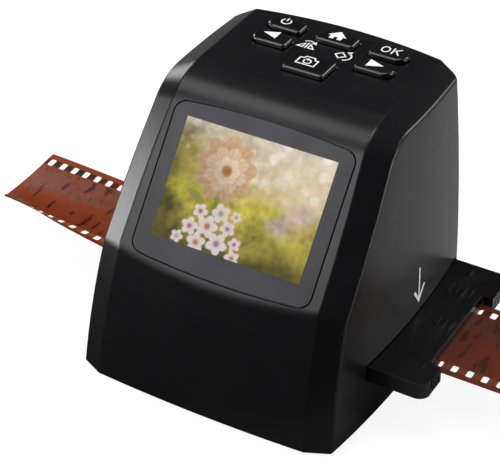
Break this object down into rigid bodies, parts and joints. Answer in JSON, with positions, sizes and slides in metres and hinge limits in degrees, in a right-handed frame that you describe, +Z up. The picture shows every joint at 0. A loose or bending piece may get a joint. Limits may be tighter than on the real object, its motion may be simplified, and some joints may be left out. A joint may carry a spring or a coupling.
{
  "type": "film negative scanner",
  "caption": "Desktop film negative scanner with a leaning colour screen on its front, buttons on its top and a sliding film tray with a film strip in a slot through its sides.",
  "frame": {"origin": "on the table, under the middle of the housing, in the plane that the four rubber feet stand on", "axes": "+Z up; -Y is the front with the screen; +X is the side that the film tray comes out of"},
  "size_m": [0.228, 0.0927, 0.086],
  "materials": {
    "housing_plastic": "satin black moulded ABS",
    "base_plastic": "matt black moulded ABS",
    "button_plastic": "satin black moulded ABS with white printed symbols",
    "tray_plastic": "satin black moulded ABS",
    "inner_plastic": "matt black moulded ABS",
    "foot_rubber": "matt black rubber",
    "screw_steel": "zinc-plated steel",
    "spring_steel": "spring steel strip",
    "window_acrylic": "dark tinted acrylic with a printed black border",
    "display": "lit liquid crystal display",
    "sheet_steel": "pressed steel sheet",
    "flex_cable": "polyimide flat cable",
    "key_rubber": "grey silicone rubber",
    "circuit_board": "green lacquered circuit board",
    "white_board": "white lacquered circuit board",
    "chip_epoxy": "black moulded epoxy",
    "socket_shell": "tinned steel shell",
    "jack_plastic": "black moulded nylon",
    "white_plastic": "white moulded ABS",
    "diffuser_acrylic": "opal acrylic",
    "led": "white surface-mount lamp",
    "lens_glass": "coated glass",
    "sensor_glass": "image sensor under cover glass",
    "film_base": "orange-brown developed negative film"
  },
  "bodies": {
    "housing": {"hood": "housing_plastic", "back_cover": "housing_plastic", "base_plate": "base_plastic", "rubber_feet": "foot_rubber", "base_screws": "screw_steel", "screen_window": "window_acrylic", "lcd_panel": "display", "lcd_bracket": "sheet_steel", "lcd_screws": "screw_steel", "lcd_ribbon": "flex_cable", "key_membrane": "key_rubber", "key_board": "circuit_board", "key_domes": "spring_steel", "key_board_screws": "screw_steel", "main_board": "circuit_board", "main_board_screws": "screw_steel", "processor_chip": "chip_epoxy", "card_socket": "socket_shell", "usb_socket": "socket_shell", "video_jack": "jack_plastic", "chassis": "inner_plastic", "chassis_screws": "screw_steel", "light_box": "white_plastic", "light_board": "white_board", "leds": "led", "diffuser": "diffuser_acrylic", "dark_chamber": "inner_plastic", "lens_holder": "inner_plastic", "lens_barrel": "inner_plastic", "lens_glass": "lens_glass", "sensor_board": "circuit_board", "image_sensor": "sensor_glass", "sensor_screws": "screw_steel", "detent_spring": "spring_steel"},
    "tray": {"tray_base": "tray_plastic", "tray_lid": "tray_plastic", "tray_hinge_pin": "screw_steel"},
    "film": {"film_strip": "film_base"},
    "power_key": {"power_button": "button_plastic"},
    "home_key": {"home_button": "button_plastic"},
    "ok_key": {"ok_button": "button_plastic"},
    "left_key": {"left_button": "button_plastic"},
    "right_key": {"right_button": "button_plastic"},
    "capture_key": {"capture_button": "button_plastic"}
  },
  "joints": [
    {"name": "tray_slide", "type": "slide", "parent": "housing", "child": "tray", "axis": [1, 0, 0], "range_m": [0, 0.095]},
    {"name": "film_slide", "type": "slide", "parent": "tray", "child": "film", "axis": [1, 0, 0], "range_m": [-0.076, 0]},
    {"name": "power_press", "type": "slide", "parent": "housing", "child": "power_key", "axis": [0, 0, -1], "range_m": [0, 0.0006], "stiffness_N_per_m": 1500, "springref_m": -0.0003},
    {"name": "home_press", "type": "slide", "parent": "housing", "child": "home_key", "axis": [0, 0, -1], "range_m": [0, 0.0006], "stiffness_N_per_m": 1500, "springref_m": -0.0003},
    {"name": "ok_press", "type": "slide", "parent": "housing", "child": "ok_key", "axis": [0, 0, -1], "range_m": [0, 0.0006], "stiffness_N_per_m": 1500, "springref_m": -0.0003},
    {"name": "left_press", "type": "slide", "parent": "housing", "child": "left_key", "axis": [0, 0, -1], "range_m": [0, 0.0006], "stiffness_N_per_m": 1500, "springref_m": -0.0003},
    {"name": "right_press", "type": "slide", "parent": "housing", "child": "right_key", "axis": [0, 0, -1], "range_m": [0, 0.0006], "stiffness_N_per_m": 1500, "springref_m": -0.0003},
    {"name": "capture_press", "type": "slide", "parent": "housing", "child": "capture_key", "axis": [0, 0, -1], "range_m": [0, 0.0006], "stiffness_N_per_m": 1500, "springref_m": -0.0003}
  ]
}
